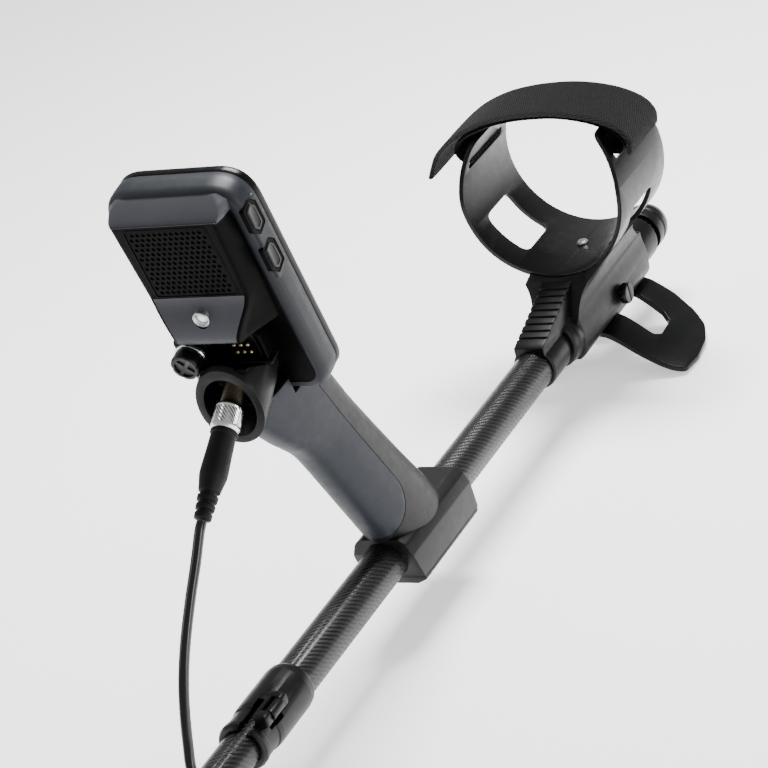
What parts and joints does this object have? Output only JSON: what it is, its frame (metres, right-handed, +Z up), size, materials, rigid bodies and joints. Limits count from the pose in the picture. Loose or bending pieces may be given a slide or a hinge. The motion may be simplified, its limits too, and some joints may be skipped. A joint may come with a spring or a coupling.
{
  "type": "metal detector",
  "caption": "Hand-held metal detector with a telescopic carbon shaft, control pod, handle, arm cuff and round search coil, standing nearly collapsed.",
  "frame": {"origin": "middle of the bounding box, on the floor the detector stands on", "axes": "+Z up; shaft along Y with the search coil toward -Y and the armrest toward +Y; +X is the user's left"},
  "size_m": [0.28, 1.149, 0.3427],
  "materials": {
    "carbon": "woven carbon fibre under clear lacquer",
    "pod_shell": "fine matt texture, blue-grey",
    "bezel": "satin black",
    "grip": "soft-touch blue-grey",
    "handle": "matt charcoal",
    "black_plastic": "matt black",
    "cuff": "satin black",
    "rubber": "matt black rubber",
    "steel": "plain steel",
    "chrome": "bright, knurled",
    "gold": "gold plated",
    "copper": "enamelled copper wire",
    "glass": "clear window, display off",
    "lens": "clear lens",
    "board": "green circuit board",
    "cable": "smooth black sheath",
    "webbing": "black hook-and-loop webbing",
    "cell": "blue shrink sleeve"
  },
  "bodies": {
    "frame": {"upper_shaft": "carbon", "upper_lock_collar": "black_plastic", "upper_lock_pin": "steel", "handle_body": "handle", "grip_overlay": "grip", "battery_cell": "cell", "clamp_cap": "handle", "clamp_screw_front": "steel", "clamp_screw_rear": "steel", "pod_rear_housing": "pod_shell", "pod_bezel": "bezel", "display_window": "glass", "lcd_module": "black_plastic", "main_board": "board", "speaker_grille": "black_plastic", "speaker_driver": "black_plastic", "torch_lens": "lens", "contact_block": "black_plastic", "contact_strip": "gold", "headphone_socket": "steel", "coil_socket": "steel", "connector_plug": "rubber", "cable_lead": "cable", "rear_end_cap": "black_plastic"},
    "armrest": {"armrest_mount": "black_plastic", "arm_cuff": "cuff", "armrest_stand": "black_plastic", "arm_strap": "webbing", "cuff_screw": "steel"},
    "armrest_screw": {"armrest_knob": "black_plastic"},
    "upper_lever": {"upper_lock_lever": "black_plastic"},
    "middle": {"middle_shaft": "carbon", "middle_shaft_bush": "black_plastic", "lower_lock_collar": "black_plastic", "lower_lock_pin": "steel", "cable_middle_wrap": "cable", "cable_coil_tail": "cable", "cable_tie_upper": "webbing", "cable_tie_lower": "webbing"},
    "lower_lever": {"lower_lock_lever": "black_plastic"},
    "lower": {"lower_shaft": "carbon", "lower_shaft_bush": "black_plastic", "coil_yoke": "black_plastic", "coil_washer_left": "rubber", "coil_washer_right": "rubber"},
    "coil": {"coil_shell": "black_plastic", "coil_skid_plate": "black_plastic", "transmit_winding": "copper", "receive_winding": "copper", "coil_bolt": "black_plastic"},
    "wing_nut": {"coil_wing_nut": "black_plastic"},
    "phone_cap": {"headphone_cap": "black_plastic"},
    "plug_collar": {"connector_collar": "chrome"},
    "button_menu_body": {"button_menu": "grip"},
    "button_left_body": {"button_left": "grip"},
    "button_right_body": {"button_right": "grip"},
    "button_minus_body": {"button_minus": "grip"},
    "button_plus_body": {"button_plus": "grip"},
    "side_button_upper_body": {"side_button_upper": "black_plastic"},
    "side_button_lower_body": {"side_button_lower": "black_plastic"}
  },
  "joints": [
    {"name": "middle_shaft_slide", "type": "slide", "parent": "frame", "child": "middle", "axis": [0, -1, 0], "range_m": [0, 0.16]},
    {"name": "lower_shaft_slide", "type": "slide", "parent": "middle", "child": "lower", "axis": [0, -1, 0], "range_m": [0, 0.14]},
    {"name": "armrest_slide", "type": "slide", "parent": "frame", "child": "armrest", "axis": [0, -1, 0], "range_m": [0, 0.06]},
    {"name": "armrest_knob_turn", "type": "hinge", "parent": "armrest", "child": "armrest_screw", "pos_m": [0.0215, 0.4685, 0.049], "axis": [1, 0, 0], "continuous": true},
    {"name": "upper_lever_hinge", "type": "hinge", "parent": "frame", "child": "upper_lever", "pos_m": [0.015, -0.0205, 0.065], "axis": [0, -1, 0], "range_deg": [0, 110]},
    {"name": "lower_lever_hinge", "type": "hinge", "parent": "middle", "child": "lower_lever", "pos_m": [-0.015, -0.2905, 0.039], "axis": [0, -1, 0], "range_deg": [0, 110]},
    {"name": "coil_hinge", "type": "hinge", "parent": "lower", "child": "coil", "pos_m": [0, -0.4305, 0.052], "axis": [1, 0, 0], "range_deg": [-55, 3], "deforming": ["cable_coil_tail"]},
    {"name": "wing_nut_turn", "type": "hinge", "parent": "coil", "child": "wing_nut", "pos_m": [0.021, -0.4305, 0.052], "axis": [1, 0, 0], "continuous": true},
    {"name": "headphone_cap_turn", "type": "hinge", "parent": "frame", "child": "phone_cap", "pos_m": [-0.02, 0.05195, 0.23766], "axis": [0, 0.9744, 0.225], "continuous": true},
    {"name": "connector_collar_turn", "type": "hinge", "parent": "frame", "child": "plug_collar", "pos_m": [0, 0.0465, 0.21], "axis": [0, -0.8348, -0.5505], "continuous": true},
    {"name": "button_menu_press", "type": "slide", "parent": "frame", "child": "button_menu_body", "axis": [0, -0.9744, -0.225], "range_m": [0, 0.0012], "stiffness_N_per_m": 900},
    {"name": "button_left_press", "type": "slide", "parent": "frame", "child": "button_left_body", "axis": [0, -0.9744, -0.225], "range_m": [0, 0.0012], "stiffness_N_per_m": 900},
    {"name": "button_right_press", "type": "slide", "parent": "frame", "child": "button_right_body", "axis": [0, -0.9744, -0.225], "range_m": [0, 0.0012], "stiffness_N_per_m": 900},
    {"name": "button_minus_press", "type": "slide", "parent": "frame", "child": "button_minus_body", "axis": [0, -0.9744, -0.225], "range_m": [0, 0.0012], "stiffness_N_per_m": 900},
    {"name": "button_plus_press", "type": "slide", "parent": "frame", "child": "button_plus_body", "axis": [0, -0.9744, -0.225], "range_m": [0, 0.0012], "stiffness_N_per_m": 900},
    {"name": "side_button_upper_press", "type": "slide", "parent": "frame", "child": "side_button_upper_body", "axis": [-1, 0, 0], "range_m": [0, 0.001], "stiffness_N_per_m": 900},
    {"name": "side_button_lower_press", "type": "slide", "parent": "frame", "child": "side_button_lower_body", "axis": [-1, 0, 0], "range_m": [0, 0.001], "stiffness_N_per_m": 900}
  ]
}
